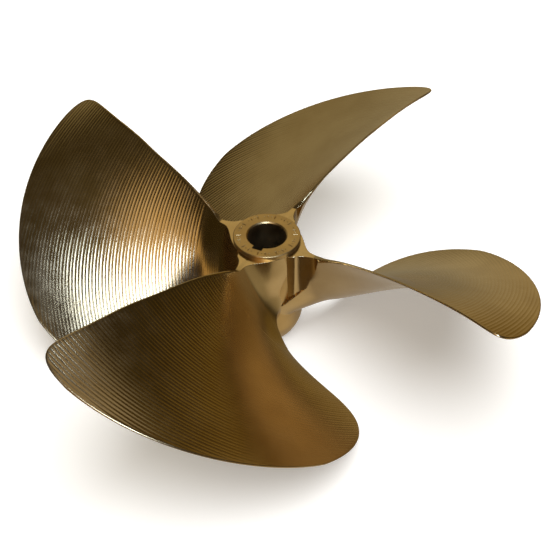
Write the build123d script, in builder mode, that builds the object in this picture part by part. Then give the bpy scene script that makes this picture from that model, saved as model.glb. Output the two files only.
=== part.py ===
from build123d import *
from math import atan2, cos, degrees, hypot, radians, sin, sqrt
import os

# Four-bladed left-hand inboard propeller, 13.5 in diameter, machined all over from cast bronze.
# Millimetres. The shaft axis is Z, the origin is the centre of the hub's forward face, and +Z points aft.
# The hub and the four blades are separate solids that meet face to face on the hub's barrel.
# Blade angles are measured about +Z from +X for blade 1; the other blades repeat it every 90 degrees.

# Whole propeller
DIAMETER = 342.9
TIP_RADIUS = DIAMETER / 2
BLADE_COUNT = 4

# Hub
HUB_LENGTH = 75.0
BOSS_RADIUS = 20.8
BOSS_STEP = 2.9
BARREL_RADIUS = 22.2
NOSE_LENGTH = 13.0
NOSE_END_RADIUS = 16.6
NOSE_BULGE = 0.8
BOSS_EDGE_BREAK = 0.35

# Bore: 1 in 16 taper for a 1-1/8 in shaft, large end forward, quarter-inch key
BORE_LARGE_DIAMETER = 28.575
TAPER = 1 / 16
MOUTH_CHAMFER = 0.8
KEYWAY_WIDTH = 6.35
KEYWAY_DEPTH = 3.0
KEYWAY_ANGLE = 245.0

# Blade distributions from the root radius to the tip, each a cubic Bezier of four control values
ROOT_RADIUS = 30.0
TRAILING_EDGE_ANGLE = (58.3, 41.3, 59.7, 27.0)
LEADING_EDGE_ANGLE = (99.9, 134.6, 127.0, 79.5)
PITCH = (424.0, 436.0, 527.0, 375.5)
RAKE_HEIGHT = (44.4, 53.6, 54.6, 63.4)
PROGRESSION = (0.3, 1.1, 1.8, 2.6)
CUP = 0.5
MID_ANGLE = 80.0
PROGRESSION_SPAN = 30.0

# The tip closes each edge with a superellipse that starts at a radius and has an exponent
TRAILING_TIP = (101.4, 2.16)
LEADING_TIP = (144.3, 1.31)

# Blade thickness, measured square to the pressure face
ROOT_THICKNESS = 12.0
TIP_THICKNESS = 1.9
ROOT_EDGE_THICKNESS = 3.0
EDGE_THICKNESS = 1.3
EDGE_TAPER_END = 60.0
SECTION_FULLNESS = 0.7

# Root fillet: a concave flare that starts at a radius and reaches the barrel.
# Its share on the suction side falls from the trailing edge to the leading edge.
FLARE_START = 40.0
FLARE_RADIUS = 22.0
LEADING_OUTLINE_SHARE = 0.5
SUCTION_SHARE_TRAILING = 1.6
SUCTION_SHARE_LEADING = 0.1
EAR_CUT_RADIUS = 37.5
NOSE_CUT_RADIUS = 32.0

# Stations where the blade is sectioned, along the blade's own radial line.
# Each section is wider than the blade, and the outline trims it: its trailing end grows outward
# from a least width, and its leading end grows between a least and a most width.
STATIONS = (13, 16, 19, 22.5, 26, 30, 35, 42, 54, 70, 88, 106, 124, 142, 157, 169)
SECTION_POINTS = 13
TRAILING_LEAST = 19.0
TRAILING_GROWTH = 0.72
TRAILING_GROWTH_START = 28.0
LEADING_LEAST = 21.0
LEADING_MOST = 76.0
LEADING_GROWTH = 1.25
LEADING_GROWTH_START = 11.2
SLOPE_STEP = 0.01
OUTLINE_POINTS = 22
OUTLINE_START = 17.0


def bezier(controls, radius):
    """Cubic Bezier of four control values, from the root radius to the tip."""
    t = (radius - ROOT_RADIUS) / (TIP_RADIUS - ROOT_RADIUS)
    a, b, c, d = controls
    return a * (1 - t) ** 3 + 3 * b * t * (1 - t) ** 2 + 3 * c * t**2 * (1 - t) + d * t**3


def tip_closure(radius, tip):
    """How much of the half chord is left at a radius, 1 inside the tip's start and 0 at the tip."""
    start, exponent = tip
    x = min(max((radius - start) / (TIP_RADIUS - start), 0.0), 1.0)
    return sqrt(1 - x**exponent)


def edge_angles(radius):
    """Angles of the trailing and leading edges at a radius."""
    trailing = bezier(TRAILING_EDGE_ANGLE, radius)
    leading = bezier(LEADING_EDGE_ANGLE, radius)
    middle = (trailing + leading) / 2
    half = (leading - trailing) / 2
    return (
        middle - half * tip_closure(radius, TRAILING_TIP),
        middle + half * tip_closure(radius, LEADING_TIP),
    )


def face_height(radius, angle):
    """Height of the pressure face: a left-hand helicoid with rake and progressive pitch."""
    turn = angle - MID_ANGLE
    span = turn / PROGRESSION_SPAN
    helix = bezier(RAKE_HEIGHT, radius) - bezier(PITCH, radius) * turn / 360
    return helix + bezier(PROGRESSION, radius) * span**2 + CUP * span**3


def chord_position(radius, angle):
    """Place across the blade at a radius: 0 on the trailing edge and 1 on the leading edge."""
    trailing, leading = edge_angles(min(radius, TIP_RADIUS - 0.5))
    return min(max((angle - trailing) / (leading - trailing), 0.0), 1.0)


def fraction(value, start, end):
    """How far a value has gone from a start to an end, held between 0 and 1."""
    return min(max((value - start) / (end - start), 0.0), 1.0)


def blade_thickness(radius, chord):
    """Thickness across the blade: full at mid chord, thin at both edges."""
    outward = fraction(radius, ROOT_RADIUS, TIP_RADIUS)
    full = ROOT_THICKNESS + (TIP_THICKNESS - ROOT_THICKNESS) * outward
    taper = fraction(radius, ROOT_RADIUS, EDGE_TAPER_END)
    edge = ROOT_EDGE_THICKNESS + (EDGE_THICKNESS - ROOT_EDGE_THICKNESS) * taper
    return edge + (full - edge) * (4 * chord * (1 - chord)) ** SECTION_FULLNESS


def flare(radius):
    """Growth of the root on each side where the fillet runs into the barrel."""
    reach = min(max(FLARE_START - radius, 0.0), FLARE_START - BOSS_RADIUS)
    return FLARE_RADIUS - sqrt(FLARE_RADIUS**2 - reach**2)


def suction_share(chord):
    """Share of the flare that the suction side takes, eased from the trailing to the leading edge."""
    eased = chord**2 * (3 - 2 * chord)
    return SUCTION_SHARE_TRAILING + (SUCTION_SHARE_LEADING - SUCTION_SHARE_TRAILING) * eased


def section_span(station):
    """Ends of a section, a little beyond the outline, measured across the blade's radial line."""
    low = -TRAILING_LEAST - TRAILING_GROWTH * max(station - TRAILING_GROWTH_START, 0)
    high = LEADING_GROWTH * (station - LEADING_GROWTH_START)
    return low, min(max(high, LEADING_LEAST), LEADING_MOST)


def section_sides(station):
    """Points of a section's pressure and suction sides, as offset across the blade and height."""
    low, high = section_span(station)
    step = (high - low) / (SECTION_POINTS - 1)
    pressure = []
    suction = []
    for index in range(SECTION_POINTS):
        across = low + index * step
        radius = hypot(station, across)
        angle = MID_ANGLE + degrees(atan2(across, station))
        height = face_height(radius, angle)
        ahead = across + SLOPE_STEP
        ahead_angle = MID_ANGLE + degrees(atan2(ahead, station))
        slope = (face_height(hypot(station, ahead), ahead_angle) - height) / SLOPE_STEP
        normal = Vector(-slope, 1).normalized()
        chord = chord_position(radius, angle)
        depth = blade_thickness(radius, chord) + flare(radius) * suction_share(chord)
        point = Vector(across, height)
        pressure.append(point + normal * flare(radius))
        suction.append(point - normal * depth)
    return pressure, suction


def section_plane(station):
    """Plane square to the blade's radial line, with its own Y along the shaft axis."""
    outward = Vector(cos(radians(MID_ANGLE)), sin(radians(MID_ANGLE)), 0)
    across = Vector(-sin(radians(MID_ANGLE)), cos(radians(MID_ANGLE)), 0)
    return Plane(origin=outward * station, x_dir=across, z_dir=outward)


def outline_points():
    """Edge of the blade seen along the shaft, from the trailing root over the tip to the leading root."""
    trailing_side = []
    leading_side = []
    for index in range(OUTLINE_POINTS):
        t = sin(radians(90 * index / (OUTLINE_POINTS - 1)))
        radius = OUTLINE_START + (TIP_RADIUS - OUTLINE_START) * t
        trailing, leading = edge_angles(radius)
        growth = degrees(flare(radius) / radius)
        trailing_side.append(polar(radius, trailing - growth))
        leading_side.append(polar(radius, leading + growth * LEADING_OUTLINE_SHARE))
    return trailing_side + leading_side[-2::-1]


def polar(radius, angle):
    """Point at a radius and an angle."""
    return (radius * cos(radians(angle)), radius * sin(radians(angle)))


def bore_radius(height):
    """Radius of the tapered bore at a height."""
    return (BORE_LARGE_DIAMETER - TAPER * height) / 2


# Hub
nose_middle = (NOSE_END_RADIUS + BARREL_RADIUS) / 2 + NOSE_BULGE
with BuildPart() as hub_envelope:
    with BuildSketch(Plane.XZ):
        with BuildLine():
            Polyline(
                (NOSE_END_RADIUS, 0),
                (0, 0),
                (0, HUB_LENGTH),
                (BOSS_RADIUS - BOSS_EDGE_BREAK, HUB_LENGTH),
                (BOSS_RADIUS, HUB_LENGTH - BOSS_EDGE_BREAK),
                (BOSS_RADIUS, HUB_LENGTH - BOSS_STEP),
                (BARREL_RADIUS, NOSE_LENGTH),
            )
            ThreePointArc(
                (BARREL_RADIUS, NOSE_LENGTH),
                (nose_middle, NOSE_LENGTH / 2),
                (NOSE_END_RADIUS, 0),
            )
        make_face()
    revolve(axis=Axis.Z)

keyway_direction = Vector(*polar(1, KEYWAY_ANGLE), 0)
keyway_side = Vector(*polar(1, KEYWAY_ANGLE + 90), 0)
with BuildPart() as hub:
    add(hub_envelope.part)
    with BuildSketch(Plane.XZ):
        with BuildLine():
            Polyline(
                (0, 0),
                (bore_radius(0) + MOUTH_CHAMFER, 0),
                (bore_radius(MOUTH_CHAMFER), MOUTH_CHAMFER),
                (bore_radius(HUB_LENGTH - MOUTH_CHAMFER), HUB_LENGTH - MOUTH_CHAMFER),
                (bore_radius(HUB_LENGTH) + MOUTH_CHAMFER, HUB_LENGTH),
                (0, HUB_LENGTH),
                close=True,
            )
        make_face()
    revolve(axis=Axis.Z, mode=Mode.SUBTRACT)
    with BuildSketch(Plane(origin=(0, 0, 0), x_dir=keyway_direction, z_dir=keyway_side)):
        with BuildLine():
            Polyline(
                (0, 0),
                (0, -HUB_LENGTH),
                (bore_radius(HUB_LENGTH) + KEYWAY_DEPTH, -HUB_LENGTH),
                (bore_radius(0) + KEYWAY_DEPTH, 0),
                close=True,
            )
        make_face()
    extrude(amount=KEYWAY_WIDTH / 2, both=True, mode=Mode.SUBTRACT)
hub.part.label = "hub"

# Blade 1
with BuildPart() as blade:
    for station in STATIONS:
        pressure, suction = section_sides(station)
        with BuildSketch(section_plane(station)):
            with BuildLine():
                Spline(*pressure)
                Line(pressure[-1], suction[-1])
                Spline(*reversed(suction))
                Line(suction[0], pressure[0])
            make_face()
    loft()
    with BuildSketch(Plane.XY.offset(-HUB_LENGTH)):
        with BuildLine():
            outline = outline_points()
            edge = Spline(*outline)
            Line(edge @ 1, edge @ 0)
        make_face()
    extrude(amount=3 * HUB_LENGTH, mode=Mode.INTERSECT)
    with Locations((0, 0, HUB_LENGTH - BOSS_STEP)):
        Cylinder(
            EAR_CUT_RADIUS,
            HUB_LENGTH,
            align=(Align.CENTER, Align.CENTER, Align.MIN),
            mode=Mode.SUBTRACT,
        )
    with Locations((0, 0, NOSE_LENGTH)):
        Cylinder(
            NOSE_CUT_RADIUS,
            HUB_LENGTH,
            align=(Align.CENTER, Align.CENTER, Align.MAX),
            mode=Mode.SUBTRACT,
        )
    add(hub_envelope.part, mode=Mode.SUBTRACT)

os.makedirs("parts", exist_ok=True)
export_step(hub.part, "parts/hub.step")
for index in range(BLADE_COUNT):
    placed = Rot(0, 0, index * 360 / BLADE_COUNT) * blade.part
    placed.label = f"blade_{index + 1}"
    export_step(placed, f"parts/blade_{index + 1}.step")
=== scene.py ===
from math import cos, hypot, pi, radians, sin

import bmesh
import bpy
import numpy as np
from mathutils import Matrix, Vector


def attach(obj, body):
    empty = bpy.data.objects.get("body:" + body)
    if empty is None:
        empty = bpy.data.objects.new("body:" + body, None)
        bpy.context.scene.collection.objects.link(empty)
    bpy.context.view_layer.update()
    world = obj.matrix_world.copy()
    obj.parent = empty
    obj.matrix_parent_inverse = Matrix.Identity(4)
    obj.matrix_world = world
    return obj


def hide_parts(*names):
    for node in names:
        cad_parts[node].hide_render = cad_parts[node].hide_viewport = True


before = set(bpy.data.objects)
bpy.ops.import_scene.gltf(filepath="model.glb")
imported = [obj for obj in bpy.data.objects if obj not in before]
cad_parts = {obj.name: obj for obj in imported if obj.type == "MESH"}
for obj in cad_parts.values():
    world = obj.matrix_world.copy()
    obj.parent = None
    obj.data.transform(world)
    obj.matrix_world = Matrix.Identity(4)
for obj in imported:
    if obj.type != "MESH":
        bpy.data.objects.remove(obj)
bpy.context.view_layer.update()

# A machined four-bladed bronze propeller. The forms below are worked out in millimetres and degrees,
# in cylindrical sections round the shaft axis Z, and turned into metres when a mesh is made.
MM = 0.001
BLADE_COUNT = 4

# Blade distributions from the root radius to the tip, each a cubic Bezier of four control values
TIP_RADIUS = 171.45
ROOT_RADIUS = 30.0
TRAILING_EDGE_ANGLE = (58.3, 41.3, 59.7, 27.0)
LEADING_EDGE_ANGLE = (99.9, 134.6, 127.0, 79.5)
PITCH = (424.0, 436.0, 527.0, 375.5)
RAKE_HEIGHT = (44.4, 53.6, 54.6, 63.4)
PROGRESSION = (0.3, 1.1, 1.8, 2.6)
CUP = 0.5
MID_ANGLE = 80.0
PROGRESSION_SPAN = 30.0

# The tip closes each edge with a superellipse that starts at a radius and has an exponent
TRAILING_TIP = (101.4, 2.16)
LEADING_TIP = (144.3, 1.31)

# Blade thickness. THICKEST above 1 moves the thickest place towards the leading edge.
ROOT_THICKNESS = 12.0
TIP_THICKNESS = 1.9
ROOT_EDGE_THICKNESS = 3.0
EDGE_THICKNESS = 1.3
EDGE_TAPER_END = 60.0
SECTION_FULLNESS = 0.9
THICKEST = 1.3

# Hub
HUB_LENGTH = 75.0
BOSS_RADIUS = 20.8
BOSS_STEP = 2.9
BOSS_EDGE_BREAK = 0.35
BARREL_RADIUS = 22.2
NOSE_LENGTH = 13.0
NOSE_END_RADIUS = 16.6
NOSE_BULGE = 0.8
NOSE_STEPS = 12
HUB_SEGMENTS = 384

# Bore and keyway
BORE_LARGE_DIAMETER = 28.575
TAPER = 1 / 16
MOUTH_CHAMFER = 0.8
KEYWAY_WIDTH = 6.35
KEYWAY_DEPTH = 3.0
KEYWAY_ANGLE = 245.0
KEYWAY_START = 2.0
CUTTER_OVERRUN = 1.0

# Root: each face thickens along a ramp (start and end radius, growth), then an elliptical fillet
# (reach along the blade, width square to it) turns it tangent to the barrel
ROOT_START = 46.0
PRESSURE_RAMP = (46.0, 25.0, 3.2)
PRESSURE_FILLET = (10.0, 8.5)
SUCTION_RAMP = (40.0, 24.0, 0.6)
NO_RAMP = (0.0, -1.0, 0.0)
EDGE_FILLET = (9.0, 3.6)
FILLET_OVERLAP = 0.05

# The suction fillet is larger low down, and the pressure fillet has a skirt high up that runs on
# round the barrel. Heights are where each change starts and is complete.
SUCTION_FILLET = (13.0, 13.5)
SUCTION_FILLET_LOW = (7.0, 3.0)
LOW_HEIGHTS = (42.0, 26.0)
SKIRT_FILLET = (9.0, 11.0)
SKIRT_HEIGHTS = (42.0, 60.0)
SKIRT_FADE = 8.0

# Inside the hub the root ends on a cylinder, clear of the bore
CORE_RADIUS = 18.6
CORE_ROW_STEP = 1.0
CORE_STEPS = 16
CORE_SEAM_ANGLE = -100.0

# Machining passes. Between the ridges each pass is a shallow scallop.
FINE_SPAN = 29.0
FINE_PITCH = 1.25
FINE_DEPTH = 0.016
FINE_ROWS = 4
PASS_PITCH = (2.2, 1.95)
PASS_DEPTH = (0.095, 0.07)
PASS_ROWS = 8
CUT_FADE = (0.3, 2.5)
TIP_LAND = 0.5
TIP_ROWS = 16
TIP_GAP = 0.002

# Grid of points across a blade, partly crowded towards both edges
COLUMNS = 72
EDGE_CROWDING = 0.8
START_HEIGHT = 40.0
HEIGHT_ROUNDS = 5
SLOPE_STEP = 0.01
DISTANCE_BATCH = 2000
LEAST_CHORD = 1e-6
LEAST_SQUARE = 1e-12

# Ears: the trailing edge is widened beside the boss and faced off. The facing is flat near the boss
# and then rises into the trailing edge.
EAR_GROWTH = 1.3
EAR_SPAN = (40.0, 28.0)
EAR_TOP = HUB_LENGTH - BOSS_STEP
EAR_FLAT_END = 33.2
EAR_SLOPE = 0.56
EAR_EASE = 1.2
EAR_REACH = 24
EAR_CUT_HEIGHT = 60.0
EAR_SEGMENTS = 256

# Side-milled wall under each ear: radius, angle and lowest height, then a way round through the air
EAR_WALL = [
    (17, 20, 27), (19.5, 28, 31), (20.7, 33.5, 34), (22.6, 38.5, 37), (24.2, 42.6, 39), (25.0, 46.3, 40),
    (26.3, 49.8, 41.5), (28.2, 52.6, 44), (30.6, 54.7, 47.5), (33.2, 55.9, 51.5), (35.2, 55.6, 55),
    (37.5, 53.5, 58), (41, 49, 62),
]
AIR_WALL = [(44, 40, 62), (40, -8, 42), (17, -8, 24)]
WALL_STEPS = 6
WALL_TOP = 100.0

# The root is carved apart from the outer blade and joined to it at this radius
SEAM_RADIUS = 52.0
SEAM_DECIMALS = 2

# Distances in metres for merging points when a mesh is made and when the two parts are joined
MERGE_DISTANCE = 1e-6
DEGENERATE_DISTANCE = 1e-7
SEAM_MERGE_DISTANCE = 2e-6

# Smooth shading is broken at edges sharper than these angles and at the ridges
BLADE_SHARP_ANGLE = 40
HUB_SHARP_ANGLE = 32
RIDGE_END = 3.0
RIDGE_TOLERANCE = 0.004

# Generic stamped ring of radial strokes and points in the boss face. The lengths repeat round the
# ring, and None is a gap. A mark is smaller at its floor than at its mouth: shares of length and width.
MARK_RADIUS = 17.6
MARK_DEPTH = 0.35
MARK_LENGTH = 3.1
MARK_WIDTH = 0.6
MARK_COUNT = 50
SHORT_MARK_SHARE = 0.6
MARK_LENGTHS = (MARK_LENGTH, MARK_WIDTH, MARK_LENGTH * SHORT_MARK_SHARE, MARK_WIDTH, None)
MARK_OVERRUN = 0.1
MARK_FLOOR = (0.88, 0.45)
MARK_MOUTH = (1.0, 1.15)

# Faces of a box whose points go round its bottom and then round its top
BOX_FACES = [(3, 2, 1, 0), (4, 5, 6, 7), (0, 1, 5, 4), (1, 2, 6, 5), (2, 3, 7, 6), (3, 0, 4, 7)]

# Bronze: base colour, roughness and height of the grain in metres
BLADE_BRONZE = ((0.64, 0.465, 0.24), 0.19, 0.000004)
HUB_BRONZE = ((0.62, 0.42, 0.18), 0.34, 0.00002)
# The bore and the keyway get a darker bronze than the hub: painted shade inside them.
BORE_SHADED_BRONZE = ((0.42, 0.29, 0.13), 0.42, 0.000004)

# Its noise (scale, detail, and the range of values that is used), how a stained place differs in
# colour, spread of the roughness, and width of the broken edges in metres
CLOUD_NOISE = (38.0, 5.0)
CLOUD_RANGE = (0.35, 0.65)
SMEAR_NOISE = (90.0, 4.0)
SMEAR_RANGE = (0.3, 0.7)
GRAIN_NOISE = (2200.0, 3.0)
STAINED = (0.87, 0.84, 0.78)
ROUGHNESS_SPREAD = (0.8, 1.25)
EDGE_BREAK = 0.0005
EDGE_SAMPLES = 4

# The faces of the bore and the keyway, which get the darker bronze of painted shade: within this radius in
# metres, and not facing along the shaft
BORE_FACE_RADIUS = 0.0176
BORE_FACE_SLOPE = 0.3

# Stage, in metres
STAGE_ROUGHNESS = 0.9
FLOOR_REACH = 6.0
FLOOR_HEIGHT = -0.0005
PAPER_COLOUR = (0.9, 0.9, 0.9)
PAPER_GLOW = 0.3
RING_SIDES = 96
WALL_RADIUS = 5.9
WALL_BASE = -0.001
WALL_HEIGHT = 6.0
WALL_GLOW = 0.96
# Dark disc under the hub: painted shade at the foot of the bore, seen through it
PATCH_RADIUS = 0.0155
PATCH_HEIGHT = -0.0003
BORE_SHADE_COLOUR = (0.25, 0.22, 0.18)

# Environment: soft lobes of light around a dim room
LOBES = (
    # azimuth, elevation, half width, softness, colour
    (252, 46, 14, 12, (0.88, 0.66, 0.36)),
    (250, 18, 9, 8, (0.75, 0.52, 0.22)),
    (214, 64, 14, 14, (0.05, 0.045, 0.03)),
    (112, 9, 42, 14, (0.27, 0.25, 0.17)),
    (82, -28, 18, 16, (0.06, 0.055, 0.045)),
    (54, 2, 24, 20, (0.17, 0.115, 0.03)),
    (325, -24, 34, 20, (0.30, 0.27, 0.19)),
    (42, 62, 9, 6, (0.36, 0.33, 0.27)),
    (88, 52, 12, 12, (0.48, 0.40, 0.22)),
    (0, -90, 52, 14, (0.36, 0.33, 0.29)),
)
ROOM = (0.037, 0.027, 0.008)

# Key light
KEY_ENERGY = 3.1
KEY_ANGLE = 55
KEY_TILT = (12, 9)

# A long lamp overhead, which draws the bright lines on the left-hand blade.
# Its ends lie in these directions from a point on the shaft axis.
STRIP_LOW = Vector((0.0, -0.87, 0.49))
STRIP_HIGH = Vector((0.15, -0.19, 0.965))
STRIP_CENTRE = Vector((0, 0, 0.05))
STRIP_DISTANCE = 1.5
STRIP_WIDTH = 0.28
STRIP_ENERGY = 17
STRIP_COLOUR = (0.46, 0.63, 1.0)

# Camera
TARGET = Vector((0, 0, 0.075))
ELEVATION = 40.44
DISTANCE = 0.65349
ROLL = 0.67
SENSOR_WIDTH = 36.0
LENS = 68.74
SHIFT = (0.0218, -0.0791)


def bezier(controls, radius):
    """Cubic Bezier of four control values, from the root radius to the tip."""
    t = (radius - ROOT_RADIUS) / (TIP_RADIUS - ROOT_RADIUS)
    a, b, c, d = controls
    return a * (1 - t) ** 3 + 3 * b * t * (1 - t) ** 2 + 3 * c * t**2 * (1 - t) + d * t**3


def tip_closure(radius, tip):
    """How much of the half chord is left at a radius: 1 inside the tip's start and 0 at the tip."""
    start, exponent = tip
    x = np.clip((radius - start) / (TIP_RADIUS - start), 0.0, 1.0)
    return np.sqrt(1 - x**exponent)


def edge_angles(radius):
    """Angles of the trailing and leading edges at a radius."""
    trailing = bezier(TRAILING_EDGE_ANGLE, radius)
    leading = bezier(LEADING_EDGE_ANGLE, radius)
    middle = (trailing + leading) / 2
    half = (leading - trailing) / 2
    return (
        middle - half * tip_closure(radius, TRAILING_TIP),
        middle + half * tip_closure(radius, LEADING_TIP),
    )


def face_height(radius, angle):
    """Height of the pressure face: a left-hand helicoid with rake and progressive pitch."""
    turn = angle - MID_ANGLE
    span = turn / PROGRESSION_SPAN
    helix = bezier(RAKE_HEIGHT, radius) - bezier(PITCH, radius) * turn / 360
    return helix + bezier(PROGRESSION, radius) * span**2 + CUP * span**3


def slope_at(radius, angle):
    """Rise of the pressure face per millimetre round the shaft."""
    rise = face_height(radius, angle + SLOPE_STEP) - face_height(radius, angle - SLOPE_STEP)
    return rise / (2 * SLOPE_STEP * np.radians(1) * radius)


def ease(value, start, end):
    """How far a value has gone from a start to an end, eased at both."""
    t = np.clip((value - start) / (end - start), 0.0, 1.0)
    return t * t * (3 - 2 * t)


def edge_thickness(radius):
    """Thickness of the blade's edges at a radius."""
    taper = np.clip((radius - ROOT_RADIUS) / (EDGE_TAPER_END - ROOT_RADIUS), 0, 1)
    return ROOT_EDGE_THICKNESS + (EDGE_THICKNESS - ROOT_EDGE_THICKNESS) * taper


def blade_thickness(radius, chord):
    """Thickness across the blade, square to the pressure face."""
    outward = np.clip((radius - ROOT_RADIUS) / (TIP_RADIUS - ROOT_RADIUS), 0, 1)
    full = ROOT_THICKNESS + (TIP_THICKNESS - ROOT_THICKNESS) * outward
    edge = edge_thickness(radius)
    return edge + (full - edge) * np.clip(np.sin(pi * chord**THICKEST), 0, 1) ** SECTION_FULLNESS


def barrel_radius(height):
    """Radius of the hub's barrel, a slight cone between the boss and the nose."""
    up = np.clip((height - NOSE_LENGTH) / (HUB_LENGTH - BOSS_STEP - NOSE_LENGTH), 0, 1)
    return BARREL_RADIUS + (BOSS_RADIUS - BARREL_RADIUS) * up


def bore_radius(height):
    """Radius of the tapered bore at a height."""
    return (BORE_LARGE_DIAMETER - TAPER * height) / 2


def scallop(depth, place):
    """Depth of a round cut at a place across it, from 0 to 1."""
    return depth * 4 * place * (1 - place)


def machining_rows():
    """Rows from the core to the tip: radius, turn into the fillet from 0 to 1, and depth of cut.

    The rows in the fillet have no radius of their own yet, so theirs is 0.
    """
    rows = [(CORE_RADIUS, 1.0, 0.0), (CORE_RADIUS + CORE_ROW_STEP, 1.0, 0.0)]
    passes = round(FINE_SPAN / FINE_PITCH)
    for index in range(passes):
        for part in range(FINE_ROWS):
            place = part / FINE_ROWS
            rows.append((0.0, 1 - (index + place) / passes, scallop(FINE_DEPTH, place)))
    radius = ROOT_START
    index = 0
    while radius < TIP_RADIUS - PASS_PITCH[0] - TIP_LAND:
        pitch = PASS_PITCH[index % 2]
        depth = PASS_DEPTH[index % 2]
        for part in range(PASS_ROWS):
            place = part / PASS_ROWS
            rows.append((radius + pitch * place, 0.0, scallop(depth, place)))
        radius += pitch
        index += 1
    left = TIP_RADIUS - radius
    for index in range(TIP_ROWS):
        rows.append((TIP_RADIUS - left * (1 - index / TIP_ROWS) ** 2, 0.0, 0.0))
    rows.append((TIP_RADIUS - TIP_GAP, 0.0, 0.0))
    return np.array(rows)


def row_radius(base, turn, height):
    """Radius of each point, from the fillet's turn where the row has none, and the fillet's foot."""
    foot = barrel_radius(height) - FILLET_OVERLAP
    inside = ROOT_START - (ROOT_START - foot) * np.sin(turn * pi / 2)
    return np.where(base > 0, base, inside), foot


def root_growth(radius, foot, ramp, fillet):
    """Growth of a face at the root, square to the face."""
    start, end, growth = ramp
    reach, width = fillet
    turn = np.clip((foot + reach - radius) / reach, 0, 1)
    return growth * ease(radius, start, end) + width * (1 - np.sqrt(1 - turn**2))


def face_growths(radius, foot, height):
    """Growth of the pressure and the suction face at the root."""
    low_down = ease(height, *LOW_HEIGHTS)
    suction_fillet = [size + more * low_down for size, more in zip(SUCTION_FILLET, SUCTION_FILLET_LOW)]
    return (
        root_growth(radius, foot, PRESSURE_RAMP, PRESSURE_FILLET),
        root_growth(radius, foot, SUCTION_RAMP, suction_fillet),
    )


def segment_distance(points, line):
    """Shortest distance from each point to a line of points."""
    start = line[:-1]
    run = line[1:] - start
    square = np.maximum((run**2).sum(1), LEAST_SQUARE)
    result = np.empty(len(points))
    for low in range(0, len(points), DISTANCE_BATCH):
        away = points[low : low + DISTANCE_BATCH, None, :] - start[None]
        t = np.clip((away * run).sum(2) / square, 0, 1)
        nearest = ((away - t[..., None] * run) ** 2).sum(2).min(1)
        result[low : low + DISTANCE_BATCH] = np.sqrt(nearest)
    return result


def cylinder_points(radius, turn, height):
    """Points from their radius, angle in radians and height."""
    return np.stack([radius * np.cos(turn), radius * np.sin(turn), height], -1)


def blade_side(rows, share, suction):
    """One side of blade 1 as a grid of points, with its outline in the middle of the edge."""
    base, turn, cut = rows[:, :1], rows[:, 1:2], rows[:, 2:]
    height = START_HEIGHT + 0 * base * share
    # The fillets depend on the height of the barrel beside them, so the height is found in rounds
    for _ in range(HEIGHT_ROUNDS):
        radius, foot = row_radius(base + 0 * share, turn, height)
        trailing, leading = edge_angles(radius)
        growths = face_growths(radius, foot, height)
        nose = (edge_thickness(radius) + growths[0] + growths[1]) / 2
        ear = EAR_GROWTH * nose * ease(radius, *EAR_SPAN)
        edge_growth = root_growth(radius, foot, NO_RAMP, EDGE_FILLET)
        low = trailing - np.degrees(ear / radius)
        high = leading + np.degrees(edge_growth / radius)
        angle = low + (high - low) * share
        face = face_height(radius, angle)
        chord = np.clip((angle - trailing) / np.maximum(leading - trailing, LEAST_CHORD), 0, 1)
        slope = slope_at(radius, angle)
        across = -slope / np.sqrt(1 + slope**2)
        up = 1 / np.sqrt(1 + slope**2)
        if suction:
            offset = -(blade_thickness(radius, chord) + growths[1])
        else:
            offset = growths[0]
        height = face + up * offset
    flat_turn = np.radians(angle)
    flat = cylinder_points(radius, flat_turn, face)
    outline = np.concatenate([flat[:, 0], flat[::-1, -1]])
    inward = segment_distance(flat.reshape(-1, 3), outline).reshape(angle.shape)
    rounding = nose * (1 - np.sqrt(1 - (1 - np.clip(inward / nose, 0, 1)) ** 2))
    inset = rounding + cut * ease(inward, *CUT_FADE)
    skirt = root_growth(radius, foot, NO_RAMP, SKIRT_FILLET)
    skirt = skirt * ease(height, *SKIRT_HEIGHTS) * ease(inward, 0, SKIRT_FADE)
    offset = offset + inset if suction else offset - inset + skirt
    return radius, cylinder_points(radius, flat_turn + across * offset / radius, face + up * offset)


def blade_surfaces():
    """The pressure and suction sides of blade 1 as two grids of points that share their outline."""
    rows = machining_rows()
    even = np.linspace(0, 1, COLUMNS + 1)
    crowded = (1 - np.cos(np.linspace(0, pi, COLUMNS + 1))) / 2
    share = (EDGE_CROWDING * crowded + (1 - EDGE_CROWDING) * even)[None, :]
    radius, pressure = blade_side(rows, share, False)
    sides = [pressure, blade_side(rows, share, True)[1]]
    middle = (sides[0][:, [0, -1]] + sides[1][:, [0, -1]]) / 2
    for side in sides:
        side[:, 0] = middle[:, 0]
        side[:, -1] = middle[:, 1]
    return radius, sides


def core_rows(first, last):
    """Rows of points on the core cylinder that lead from one row of points round to another."""
    low = radians(CORE_SEAM_ANGLE)
    radius = np.hypot(first[:, 0], first[:, 1])
    start, end = ((np.arctan2(row[:, 1], row[:, 0]) - low) % (2 * pi) + low for row in (first, last))
    rows = []
    for step in range(1, CORE_STEPS):
        share = step / CORE_STEPS
        turn = start + (end - start) * share
        height = first[:, 2] + (last[:, 2] - first[:, 2]) * share
        rows.append(cylinder_points(radius, turn, height))
    return np.array(rows)


def shell(sides, close_low, close_high):
    """A closed surface from the two sides of some rows, with a cap on its first or last row."""
    count, width = sides[0].shape[:2]
    second = count * width
    points = [side.reshape(-1, 3) for side in sides]
    faces = []
    for i in range(count - 1):
        for j in range(width - 1):
            a = i * width + j
            faces.append((a, a + width, a + width + 1, a + 1))
            b = second + a
            faces.append((b, b + 1, b + width + 1, b + width))
    if close_low:
        core = core_rows(sides[0][0], sides[1][0])
        points.append(core.reshape(-1, 3))
        starts = [0] + [2 * second + k * width for k in range(len(core))] + [second]
        for a, b in zip(starts, starts[1:]):
            for j in range(width - 1):
                faces.append((a + j, a + j + 1, b + j + 1, b + j))
    if close_high:
        last = (count - 1) * width
        for j in range(width - 1):
            faces.append((last + j, second + last + j, second + last + j + 1, last + j + 1))
    return np.concatenate(points), faces


def link(piece):
    """Puts an object into the scene."""
    bpy.context.scene.collection.objects.link(piece)
    return piece


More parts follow.
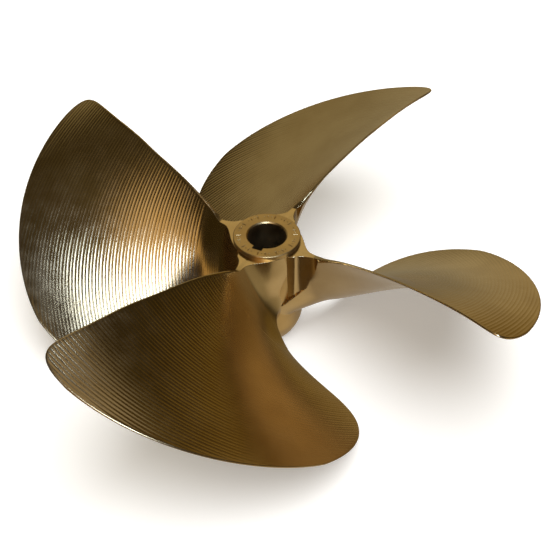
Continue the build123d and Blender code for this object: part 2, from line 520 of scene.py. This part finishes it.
def new_object(name, points, faces):
    """A mesh object from points in millimetres, with doubled points merged and its normals outward."""
    mesh = bpy.data.meshes.new(name)
    mesh.from_pydata((np.asarray(points) * MM).tolist(), [], faces)
    bm = bmesh.new()
    bm.from_mesh(mesh)
    bmesh.ops.remove_doubles(bm, verts=bm.verts, dist=MERGE_DISTANCE)
    bmesh.ops.dissolve_degenerate(bm, dist=DEGENERATE_DISTANCE, edges=bm.edges)
    bmesh.ops.recalc_face_normals(bm, faces=bm.faces)
    bm.to_mesh(mesh)
    bm.free()
    return link(bpy.data.objects.new(name, mesh))


def polar(radius, angle):
    """Point at a radius and an angle in degrees."""
    return (radius * cos(radians(angle)), radius * sin(radians(angle)))


def rounded(points, steps):
    """A smooth line through some points: each span is a Catmull-Rom curve."""
    points = np.array([points[0], *points, points[-1]], float)
    t = (np.arange(steps) / steps)[:, None]
    line = []
    for a, b, c, d in zip(points, points[1:], points[2:], points[3:]):
        bend = b + t * ((c - a) + t * ((2 * a - 5 * b + 4 * c - d) + t * (3 * b - a - 3 * c + d))) / 2
        line += [tuple(point) for point in bend]
    return line + [tuple(points[-1])]


def prism(name, outline, high):
    """A closed upright prism of an outline whose points each have a lowest height."""
    count = len(outline)
    points = list(outline) + [(x, y, high) for x, y, low in outline]
    faces = [tuple(range(count))[::-1], tuple(range(count, 2 * count))]
    for index in range(count):
        after = (index + 1) % count
        faces.append((index, after, after + count, index + count))
    return new_object(name, points, faces)


def turned(name, profile, segments):
    """A solid turned from an open profile of radius and height that starts and ends on the axis."""
    points = [(0, 0, profile[0][1])]
    for k in range(segments):
        turn = 2 * pi * k / segments
        points += [(r * cos(turn), r * sin(turn), z) for r, z in profile[1:-1]]
    points.append((0, 0, profile[-1][1]))
    count = len(profile) - 2
    end = len(points) - 1
    faces = []
    for k in range(segments):
        here = 1 + k * count
        there = 1 + (k + 1) % segments * count
        faces.append((0, there, here))
        for j in range(count - 1):
            faces.append((here + j, there + j, there + j + 1, here + j + 1))
        faces.append((end, here + count - 1, there + count - 1))
    return new_object(name, points, faces)


def lathe(name, profile, segments):
    """A ring turned from a closed profile of radius and height."""
    count = len(profile)
    points = []
    for k in range(segments):
        turn = 2 * pi * k / segments
        points += [(r * cos(turn), r * sin(turn), z) for r, z in profile]
    faces = []
    for k in range(segments):
        here = k * count
        there = (k + 1) % segments * count
        for j in range(count):
            after = (j + 1) % count
            faces.append((here + j, there + j, there + after, here + after))
    return new_object(name, points, faces)


def carve(piece, cutter):
    """Cuts one solid out of another and removes the cutter."""
    modifier = piece.modifiers.new("carve", "BOOLEAN")
    modifier.operation = "DIFFERENCE"
    modifier.solver = "MANIFOLD"
    modifier.object = cutter
    graph = bpy.context.evaluated_depsgraph_get()
    mesh = bpy.data.meshes.new_from_object(piece.evaluated_get(graph))
    piece.modifiers.clear()
    old = piece.data
    piece.data = mesh
    bpy.data.meshes.remove(old)
    bpy.data.objects.remove(cutter)


def smooth(piece, angle):
    """Shades a piece smoothly, except across edges sharper than an angle."""
    for polygon in piece.data.polygons:
        polygon.use_smooth = True
    piece.data.set_sharp_from_angle(angle=radians(angle))


def sharpen_ridges(mesh):
    """Marks the ridges between machining passes, which keep a constant radius, as sharp."""
    rows = machining_rows()
    ridges = np.sort(rows[(rows[:, 0] > ROOT_START) & (rows[:, 2] == 0), 0])
    ridges = ridges[ridges < TIP_RADIUS - RIDGE_END]
    points = np.empty(len(mesh.vertices) * 3)
    mesh.vertices.foreach_get("co", points)
    radius = np.hypot(points[0::3], points[1::3]) / MM
    place = np.clip(np.searchsorted(ridges, radius), 1, len(ridges) - 1)
    nearest = np.where(ridges[place] - radius < radius - ridges[place - 1], place, place - 1)
    on_ridge = np.abs(ridges[nearest] - radius) < RIDGE_TOLERANCE
    ends = np.empty(len(mesh.edges) * 2, int)
    mesh.edges.foreach_get("vertices", ends)
    a, b = ends[0::2], ends[1::2]
    sharp = np.zeros(len(mesh.edges), bool)
    mesh.attributes["sharp_edge"].data.foreach_get("value", sharp)
    sharp |= on_ridge[a] & on_ridge[b] & (nearest[a] == nearest[b])
    mesh.attributes["sharp_edge"].data.foreach_set("value", sharp)


def ear_cutter():
    """The air above the faced tops of the ears."""
    profile = [(0, EAR_TOP)]
    for out in np.linspace(0, EAR_REACH, 2 * EAR_REACH + 1):
        profile.append((EAR_FLAT_END + out, EAR_TOP + EAR_SLOPE * out**2 / (out + EAR_EASE)))
    top = EAR_TOP + EAR_CUT_HEIGHT
    profile += [(EAR_FLAT_END + EAR_REACH, top), (0, top)]
    return turned("ear_cutter", profile, EAR_SEGMENTS)


def wall_cutter():
    """The path of the side mill under the ear."""
    wall_line = rounded([(*polar(r, a), low) for r, a, low in EAR_WALL], WALL_STEPS)
    air_line = [(*polar(r, a), low) for r, a, low in AIR_WALL]
    return prism("wall_cutter", wall_line + air_line, WALL_TOP)


def make_blade():
    """Blade 1: the carved root and the outer blade, joined into one closed surface."""
    radius, sides = blade_surfaces()
    seam = int(np.searchsorted(radius[:, 0], SEAM_RADIUS))
    root = new_object("blade_root", *shell([side[: seam + 1] for side in sides], True, True))
    carve(root, ear_cutter())
    carve(root, wall_cutter())
    outer = new_object("blade_outer", *shell([side[seam:] for side in sides], False, True))
    rim = {tuple(round(v, SEAM_DECIMALS) for v in point) for side in sides for point in side[seam]}

    def on_rim(vertex):
        return tuple(round(v / MM, SEAM_DECIMALS) for v in vertex.co) in rim

    bm = bmesh.new()
    bm.from_mesh(root.data)
    cap = [face for face in bm.faces if all(on_rim(vertex) for vertex in face.verts)]
    bmesh.ops.delete(bm, geom=cap, context="FACES")
    bm.from_mesh(outer.data)
    bmesh.ops.remove_doubles(bm, verts=bm.verts, dist=SEAM_MERGE_DISTANCE)
    bmesh.ops.recalc_face_normals(bm, faces=bm.faces)
    blade = bpy.data.objects.new("blade_form", bpy.data.meshes.new("blade_form"))
    bm.to_mesh(blade.data)
    bm.free()
    bpy.data.objects.remove(root)
    bpy.data.objects.remove(outer)
    smooth(blade, BLADE_SHARP_ANGLE)
    sharpen_ridges(blade.data)
    return blade


def nose_points():
    """The nose from the forward face to the barrel, a parabola that bulges past its chord."""
    chord_middle = (NOSE_END_RADIUS + BARREL_RADIUS) / 2
    control = (chord_middle + 2 * NOSE_BULGE, NOSE_LENGTH / 2)
    points = []
    for k in range(NOSE_STEPS + 1):
        t = k / NOSE_STEPS
        points.append((
            NOSE_END_RADIUS * (1 - t) ** 2 + 2 * control[0] * t * (1 - t) + BARREL_RADIUS * t * t,
            2 * control[1] * t * (1 - t) + NOSE_LENGTH * t * t,
        ))
    return points


def keyway_cutter():
    """A box along the bore that follows its taper."""
    x, y = polar(1, KEYWAY_ANGLE)
    half = KEYWAY_WIDTH / 2
    low = (-CUTTER_OVERRUN, bore_radius(0) + KEYWAY_DEPTH)
    high = (HUB_LENGTH + CUTTER_OVERRUN, bore_radius(HUB_LENGTH) + KEYWAY_DEPTH)
    corners = []
    for z, reach in (low, high):
        for across, out in ((-half, KEYWAY_START), (half, KEYWAY_START), (half, reach), (-half, reach)):
            corners.append((out * x - across * y, out * y + across * x, z))
    return new_object("keyway_cutter", corners, BOX_FACES)


def marks_cutter():
    """Tapered punches for the ring of marks: a long stroke, a point, a short stroke, a point and a gap."""
    points = []
    faces = []
    for index in range(MARK_COUNT):
        length = MARK_LENGTHS[index % len(MARK_LENGTHS)]
        if length is None:
            continue
        turn = radians(360 * index / MARK_COUNT)
        outward = np.array((cos(turn), sin(turn)))
        sideways = np.array((-sin(turn), cos(turn)))
        start = len(points)
        floor_height = HUB_LENGTH - MARK_DEPTH
        mouth_height = HUB_LENGTH + MARK_OVERRUN
        for height, (long_share, wide_share) in ((floor_height, MARK_FLOOR), (mouth_height, MARK_MOUTH)):
            along = outward * length / 2 * long_share
            across = sideways * MARK_WIDTH / 2 * wide_share
            for a, b in ((-1, -1), (1, -1), (1, 1), (-1, 1)):
                x, y = MARK_RADIUS * outward + a * along + b * across
                points.append((x, y, height))
        faces += [tuple(start + corner for corner in face) for face in BOX_FACES]
    return new_object("marks_cutter", points, faces)


def make_hub():
    """The hub: turned outside and bored, with its keyway cut and its boss face stamped."""
    profile = [
        (bore_radius(0) + MOUTH_CHAMFER, 0),
        *nose_points(),
        (BOSS_RADIUS, HUB_LENGTH - BOSS_STEP),
        (BOSS_RADIUS, HUB_LENGTH - BOSS_EDGE_BREAK),
        (BOSS_RADIUS - BOSS_EDGE_BREAK, HUB_LENGTH),
        (bore_radius(HUB_LENGTH) + MOUTH_CHAMFER, HUB_LENGTH),
        (bore_radius(HUB_LENGTH), HUB_LENGTH - MOUTH_CHAMFER),
        (bore_radius(MOUTH_CHAMFER), MOUTH_CHAMFER),
    ]
    hub = lathe("hub_turned", profile, HUB_SEGMENTS)
    carve(hub, keyway_cutter())
    carve(hub, marks_cutter())
    smooth(hub, HUB_SHARP_ANGLE)
    return hub


def bronze(name, colour, rough, grain):
    """Bare machined bronze: cloudy colour and gloss, a fine grain, and edges broken by hand."""
    material = bpy.data.materials.new(name)
    material.use_nodes = True
    nodes = material.node_tree.nodes
    links = material.node_tree.links
    shader = nodes["Principled BSDF"]
    shader.inputs["Metallic"].default_value = 1.0
    coordinate = nodes.new("ShaderNodeTexCoord")

    def noise(scale, detail):
        node = nodes.new("ShaderNodeTexNoise")
        node.inputs["Scale"].default_value = scale
        node.inputs["Detail"].default_value = detail
        links.new(coordinate.outputs["Object"], node.inputs["Vector"])
        return node.outputs["Fac"]

    def ramp(value, source, first, last):
        node = nodes.new("ShaderNodeMapRange")
        node.inputs["From Min"].default_value = source[0]
        node.inputs["From Max"].default_value = source[1]
        node.inputs["To Min"].default_value = first
        node.inputs["To Max"].default_value = last
        links.new(value, node.inputs["Value"])
        return node.outputs["Result"]

    tint = nodes.new("ShaderNodeMix")
    tint.data_type = "RGBA"
    links.new(ramp(noise(*CLOUD_NOISE), CLOUD_RANGE, 0.0, 1.0), tint.inputs["Factor"])
    tint.inputs["A"].default_value = (*(v * k for v, k in zip(colour, STAINED)), 1)
    tint.inputs["B"].default_value = (*colour, 1)
    links.new(tint.outputs["Result"], shader.inputs["Base Color"])
    gloss = [rough * share for share in ROUGHNESS_SPREAD]
    links.new(ramp(noise(*SMEAR_NOISE), SMEAR_RANGE, *gloss), shader.inputs["Roughness"])
    bump = nodes.new("ShaderNodeBump")
    bump.inputs["Strength"].default_value = 1.0
    bump.inputs["Distance"].default_value = grain
    links.new(noise(*GRAIN_NOISE), bump.inputs["Height"])
    edge = nodes.new("ShaderNodeBevel")
    edge.samples = EDGE_SAMPLES
    edge.inputs["Radius"].default_value = EDGE_BREAK
    links.new(edge.outputs["Normal"], bump.inputs["Normal"])
    links.new(bump.outputs["Normal"], shader.inputs["Normal"])
    return material


def place_blades(blade, material):
    """A machined blade in place of each CAD blade."""
    for index in range(BLADE_COUNT):
        mesh = blade.data.copy()
        mesh.transform(Matrix.Rotation(2 * pi * index / BLADE_COUNT, 4, "Z"))
        mesh.materials.clear()
        mesh.materials.append(material)
        piece = link(bpy.data.objects.new(f"blade_{index + 1}_machined", mesh))
        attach(piece, "root")
        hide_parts(f"blade_{index + 1}")
    bpy.data.objects.remove(blade)


def place_hub(hub, material, bore_shade_material):
    """The machined hub in place of the CAD hub, with a darker bronze in the bore and the keyway that paints
    the shade inside them.
    """
    hub.data.materials.clear()
    hub.data.materials.append(material)
    hub.data.materials.append(bore_shade_material)
    for polygon in hub.data.polygons:
        reach = max(hypot(*hub.data.vertices[v].co.xy) for v in polygon.vertices)
        if reach < BORE_FACE_RADIUS and abs(polygon.normal.z) < BORE_FACE_SLOPE:
            polygon.material_index = 1
    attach(hub, "root")
    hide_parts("hub")


def stage_piece(name, points, faces, colour, glow):
    """A piece of the stage, in metres, with a matt surface that may glow."""
    mesh = bpy.data.meshes.new(name)
    mesh.from_pydata(points, [], faces)
    piece = link(bpy.data.objects.new(name, mesh))
    material = bpy.data.materials.new(name)
    material.use_nodes = True
    shader = material.node_tree.nodes["Principled BSDF"]
    shader.inputs["Base Color"].default_value = (*colour, 1)
    shader.inputs["Roughness"].default_value = STAGE_ROUGHNESS
    shader.inputs["Emission Color"].default_value = (1, 1, 1, 1)
    shader.inputs["Emission Strength"].default_value = glow
    mesh.materials.append(material)
    return piece


def make_stage():
    """A pale floor, a white wall all round it, and a dark disc under the hub that paints the shade seen
    through the bore.
    """
    corners = ((-1, -1), (1, -1), (1, 1), (-1, 1))
    floor_points = [(x * FLOOR_REACH, y * FLOOR_REACH, FLOOR_HEIGHT) for x, y in corners]
    floor = stage_piece("floor", floor_points, [(0, 1, 2, 3)], PAPER_COLOUR, PAPER_GLOW)
    floor.visible_glossy = False
    turns = [2 * pi * k / RING_SIDES for k in range(RING_SIDES)]
    ring = [(cos(turn), sin(turn)) for turn in turns]
    wall_points = [(WALL_RADIUS * x, WALL_RADIUS * y, z) for z in (WALL_BASE, WALL_HEIGHT) for x, y in ring]
    wall_faces = []
    for k in range(RING_SIDES):
        after = (k + 1) % RING_SIDES
        wall_faces.append((k, after, after + RING_SIDES, k + RING_SIDES))
    backdrop = stage_piece("backdrop", wall_points, wall_faces, (0, 0, 0), WALL_GLOW)
    backdrop.visible_glossy = False
    backdrop.visible_diffuse = False
    backdrop.visible_shadow = False
    # A dark disc under the bore: painted shade.
    patch_points = [(PATCH_RADIUS * x, PATCH_RADIUS * y, PATCH_HEIGHT) for x, y in ring]
    stage_piece("bore_shade_patch", patch_points, [tuple(range(RING_SIDES))], BORE_SHADE_COLOUR, 0.0)


def sphere_direction(azimuth, elevation):
    """Unit vector towards an azimuth and an elevation in degrees."""
    level = cos(radians(elevation))
    return Vector((level * cos(radians(azimuth)), level * sin(radians(azimuth)), sin(radians(elevation))))


def make_world():
    """A room of soft lobes of light: each fades with the angle from its middle."""
    world = bpy.data.worlds.new("room")
    bpy.context.scene.world = world
    world.use_nodes = True
    nodes = world.node_tree.nodes
    links = world.node_tree.links
    coordinate = nodes.new("ShaderNodeTexCoord")

    def add(first, second):
        node = nodes.new("ShaderNodeVectorMath")
        links.new(first, node.inputs[0])
        links.new(second, node.inputs[1])
        return node.outputs["Vector"]

    def lobe(azimuth, elevation, width, soft, colour):
        dot = nodes.new("ShaderNodeVectorMath")
        dot.operation = "DOT_PRODUCT"
        dot.inputs[1].default_value = sphere_direction(azimuth, elevation)
        links.new(coordinate.outputs["Generated"], dot.inputs[0])
        spread = nodes.new("ShaderNodeMapRange")
        spread.interpolation_type = "SMOOTHSTEP"
        spread.inputs["From Min"].default_value = cos(radians(width + soft))
        spread.inputs["From Max"].default_value = cos(radians(max(width - soft, 0)))
        links.new(dot.outputs["Value"], spread.inputs["Value"])
        scale = nodes.new("ShaderNodeVectorMath")
        scale.operation = "SCALE"
        scale.inputs[0].default_value = colour
        links.new(spread.outputs["Result"], scale.inputs["Scale"])
        return scale.outputs["Vector"]

    total = lobe(*LOBES[0])
    for values in LOBES[1:]:
        total = add(total, lobe(*values))
    room = nodes.new("ShaderNodeVectorMath")
    room.inputs[0].default_value = ROOM
    links.new(total, room.inputs[1])
    links.new(room.outputs["Vector"], nodes["Background"].inputs["Color"])


def make_key():
    """A broad soft key light from above, which is not seen in the metal."""
    data = bpy.data.lights.new("key", "SUN")
    data.energy = KEY_ENERGY
    data.angle = radians(KEY_ANGLE)
    key = link(bpy.data.objects.new("key", data))
    key.rotation_euler = (radians(KEY_TILT[0]), radians(KEY_TILT[1]), 0)
    key.visible_glossy = False


def make_strip():
    """The long lamp overhead, which is only seen in the metal."""
    middle = STRIP_LOW + STRIP_HIGH
    run = (STRIP_HIGH - STRIP_LOW) * STRIP_DISTANCE
    data = bpy.data.lights.new("strip", "AREA")
    data.shape = "RECTANGLE"
    data.size = run.length
    data.size_y = STRIP_WIDTH
    data.energy = STRIP_ENERGY
    data.color = STRIP_COLOUR
    strip = link(bpy.data.objects.new("strip", data))
    along = run.normalized()
    across = middle.normalized().cross(along).normalized()
    outward = along.cross(across)
    strip.location = STRIP_CENTRE + middle / 2 * STRIP_DISTANCE
    strip.rotation_mode = "QUATERNION"
    strip.rotation_quaternion = Matrix((along, across, outward)).transposed().to_quaternion()
    strip.visible_diffuse = False


def make_camera():
    """The camera looks down at the propeller from the front."""
    data = bpy.data.cameras.new("camera")
    data.sensor_width = SENSOR_WIDTH
    data.lens = LENS
    data.shift_x, data.shift_y = SHIFT
    camera = link(bpy.data.objects.new("camera", data))
    forward = Vector((0, cos(radians(ELEVATION)), -sin(radians(ELEVATION))))
    level = forward.to_track_quat("-Z", "Y")
    camera.location = TARGET - forward * DISTANCE
    camera.rotation_mode = "QUATERNION"
    camera.rotation_quaternion = level @ Matrix.Rotation(radians(-ROLL), 3, "Z").to_quaternion()
    bpy.context.scene.camera = camera


blade_form = make_blade()
hub_form = make_hub()
blade_bronze = bronze("blade_bronze", *BLADE_BRONZE)
hub_bronze = bronze("hub_bronze", *HUB_BRONZE)
# Darker bronze for the bore and the keyway: painted shade.
bore_shaded_bronze = bronze("bore_shaded_bronze", *BORE_SHADED_BRONZE)
place_blades(blade_form, blade_bronze)
place_hub(hub_form, hub_bronze, bore_shaded_bronze)

make_stage()
make_world()
make_key()
make_strip()
make_camera()
bpy.context.scene.view_settings.view_transform = "Standard"
